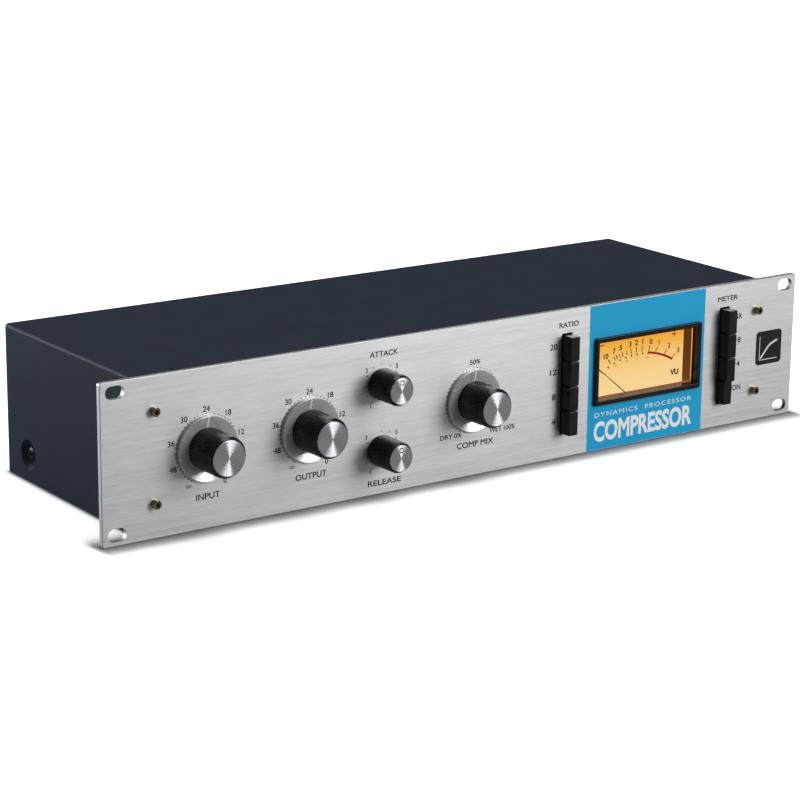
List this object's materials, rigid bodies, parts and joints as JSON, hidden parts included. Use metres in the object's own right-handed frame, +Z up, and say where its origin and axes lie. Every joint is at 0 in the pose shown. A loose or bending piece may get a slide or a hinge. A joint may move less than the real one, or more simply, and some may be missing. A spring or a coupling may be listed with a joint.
{
  "type": "rack compressor",
  "caption": "Two-unit 19-inch rack compressor: brushed panel with rotary knobs, push-key banks and a lit needle meter, dark folded steel case, rear connectors.",
  "frame": {"origin": "centre of the four rack slots, in the plane of the front panel's rear face, which bears on the rack rails", "axes": "+X to the right seen from the front, +Y towards the back, +Z up"},
  "size_m": [0.4826, 0.1767, 0.0882],
  "materials": {
    "brushed_panel": "horizontally brushed, clear anodised",
    "powder_coat": "fine texture powder coat",
    "knob_black": "moulded, satin",
    "spun_cap": "spun, radial sheen",
    "clear_skirt": "clear acrylic",
    "meter_glass": "clear acrylic",
    "bezel_black": "moulded, glossy",
    "meter_brown": "lit from behind",
    "scale_card": "translucent, back-lit, emissive",
    "key_black": "moulded, satin",
    "zinc_steel": "zinc plated",
    "black_screw": "black oxide",
    "nickel_screw": "nickel plated",
    "nickel_shell": "satin nickel",
    "connector_black": "glass-filled nylon",
    "circuit_board": "solder mask",
    "switch_grey": "moulded",
    "toroid_wrap": "polyester tape",
    "mu_metal": "drawn can",
    "capacitor_sleeve": "heat-shrunk sleeve",
    "heatsink": "black anodised",
    "needle_black": "matt",
    "coil_copper": "enamelled copper",
    "magnet": "plated",
    "pot_metal": "pressed",
    "shaft_metal": "turned"
  },
  "bodies": {
    "root": {"front_panel": "brushed_panel", "chassis_tray": "powder_coat", "top_cover": "powder_coat", "panel_screws": "nickel_screw", "cover_screws": "black_screw", "connector_screws": "zinc_steel", "board_screws": "zinc_steel", "board_standoffs": "zinc_steel", "mains_transformer_bolt": "zinc_steel", "pot_nuts": "zinc_steel", "meter_bezel": "bezel_black", "meter_window": "meter_glass", "meter_housing": "meter_brown", "meter_scale_card": "scale_card", "meter_magnet": "magnet", "meter_lamp_board": "circuit_board", "main_board": "circuit_board", "control_board": "circuit_board", "ratio_switch_bank": "switch_grey", "meter_switch_bank": "switch_grey", "mains_transformer": "toroid_wrap", "input_transformer": "mu_metal", "output_transformer": "mu_metal", "filter_capacitors": "capacitor_sleeve", "regulator_heatsinks": "heatsink", "mains_inlet": "connector_black", "jack_sockets": "connector_black", "xlr_input": "nickel_shell", "xlr_output": "nickel_shell", "potentiometers": "pot_metal"},
    "input_control": {"input_knob": "knob_black", "input_knob_cap": "spun_cap", "input_knob_skirt": "clear_skirt", "input_shaft": "shaft_metal"},
    "output_control": {"output_knob": "knob_black", "output_knob_cap": "spun_cap", "output_knob_skirt": "clear_skirt", "output_shaft": "shaft_metal"},
    "mix_control": {"mix_knob": "knob_black", "mix_knob_cap": "spun_cap", "mix_knob_skirt": "clear_skirt", "mix_shaft": "shaft_metal"},
    "attack_control": {"attack_knob": "knob_black", "attack_knob_cap": "spun_cap", "attack_shaft": "shaft_metal"},
    "release_control": {"release_knob": "knob_black", "release_knob_cap": "spun_cap", "release_shaft": "shaft_metal"},
    "ratio_key_20_button": {"ratio_key_20": "key_black"},
    "ratio_key_12_button": {"ratio_key_12": "key_black"},
    "ratio_key_8_button": {"ratio_key_8": "key_black"},
    "ratio_key_4_button": {"ratio_key_4": "key_black"},
    "meter_key_gr_button": {"meter_key_gr": "key_black"},
    "meter_key_8_button": {"meter_key_8": "key_black"},
    "meter_key_4_button": {"meter_key_4": "key_black"},
    "power_key_button": {"power_key": "key_black"},
    "meter_movement": {"meter_needle": "needle_black", "meter_coil": "coil_copper"},
    "fuse_drawer_slide": {"fuse_drawer": "connector_black"},
    "release_tab": {"xlr_release_tab": "nickel_shell"}
  },
  "joints": [
    {"name": "input_turn", "type": "hinge", "parent": "root", "child": "input_control", "pos_m": [-0.1784, 0, 0], "axis": [0, 1, 0], "range_deg": [-150, 150]},
    {"name": "output_turn", "type": "hinge", "parent": "root", "child": "output_control", "pos_m": [-0.114, 0, 0], "axis": [0, 1, 0], "range_deg": [-150, 150]},
    {"name": "mix_turn", "type": "hinge", "parent": "root", "child": "mix_control", "pos_m": [-0.004, 0, 0], "axis": [0, 1, 0], "range_deg": [-150, 150]},
    {"name": "attack_turn", "type": "hinge", "parent": "root", "child": "attack_control", "pos_m": [-0.0668, 0, 0.0188], "axis": [0, 1, 0], "range_deg": [-150, 150]},
    {"name": "release_turn", "type": "hinge", "parent": "root", "child": "release_control", "pos_m": [-0.0668, 0, -0.0191], "axis": [0, 1, 0], "range_deg": [-150, 150]},
    {"name": "ratio_key_20_press", "type": "slide", "parent": "root", "child": "ratio_key_20_button", "axis": [0, 1, 0], "range_m": [0, 0.0035], "stiffness_N_per_m": 150, "springref_m": -0.003},
    {"name": "ratio_key_12_press", "type": "slide", "parent": "root", "child": "ratio_key_12_button", "axis": [0, 1, 0], "range_m": [0, 0.0035], "stiffness_N_per_m": 150, "springref_m": -0.003},
    {"name": "ratio_key_8_press", "type": "slide", "parent": "root", "child": "ratio_key_8_button", "axis": [0, 1, 0], "range_m": [0, 0.0035], "stiffness_N_per_m": 150, "springref_m": -0.003},
    {"name": "ratio_key_4_press", "type": "slide", "parent": "root", "child": "ratio_key_4_button", "axis": [0, 1, 0], "range_m": [0, 0.0035], "stiffness_N_per_m": 150, "springref_m": -0.003},
    {"name": "meter_key_gr_press", "type": "slide", "parent": "root", "child": "meter_key_gr_button", "axis": [0, 1, 0], "range_m": [0, 0.0035], "stiffness_N_per_m": 150, "springref_m": -0.003},
    {"name": "meter_key_8_press", "type": "slide", "parent": "root", "child": "meter_key_8_button", "axis": [0, 1, 0], "range_m": [0, 0.0035], "stiffness_N_per_m": 150, "springref_m": -0.003},
    {"name": "meter_key_4_press", "type": "slide", "parent": "root", "child": "meter_key_4_button", "axis": [0, 1, 0], "range_m": [0, 0.0035], "stiffness_N_per_m": 150, "springref_m": -0.003},
    {"name": "power_key_press", "type": "slide", "parent": "root", "child": "power_key_button", "axis": [0, 1, 0], "range_m": [-0.0023, 0.0012]},
    {"name": "needle_swing", "type": "hinge", "parent": "root", "child": "meter_movement", "pos_m": [0.124, 0.0043, -0.0224], "axis": [0, 1, 0], "range_deg": [0, 101], "stiffness_Nm_per_rad": 0.0001, "springref_deg": -17.19},
    {"name": "fuse_drawer_pull", "type": "slide", "parent": "root", "child": "fuse_drawer_slide", "axis": [0, 1, 0], "range_m": [0, 0.022]},
    {"name": "release_tab_press", "type": "slide", "parent": "root", "child": "release_tab", "axis": [0, -1, 0], "range_m": [0, 0.002], "stiffness_N_per_m": 500, "springref_m": -0.001}
  ]
}
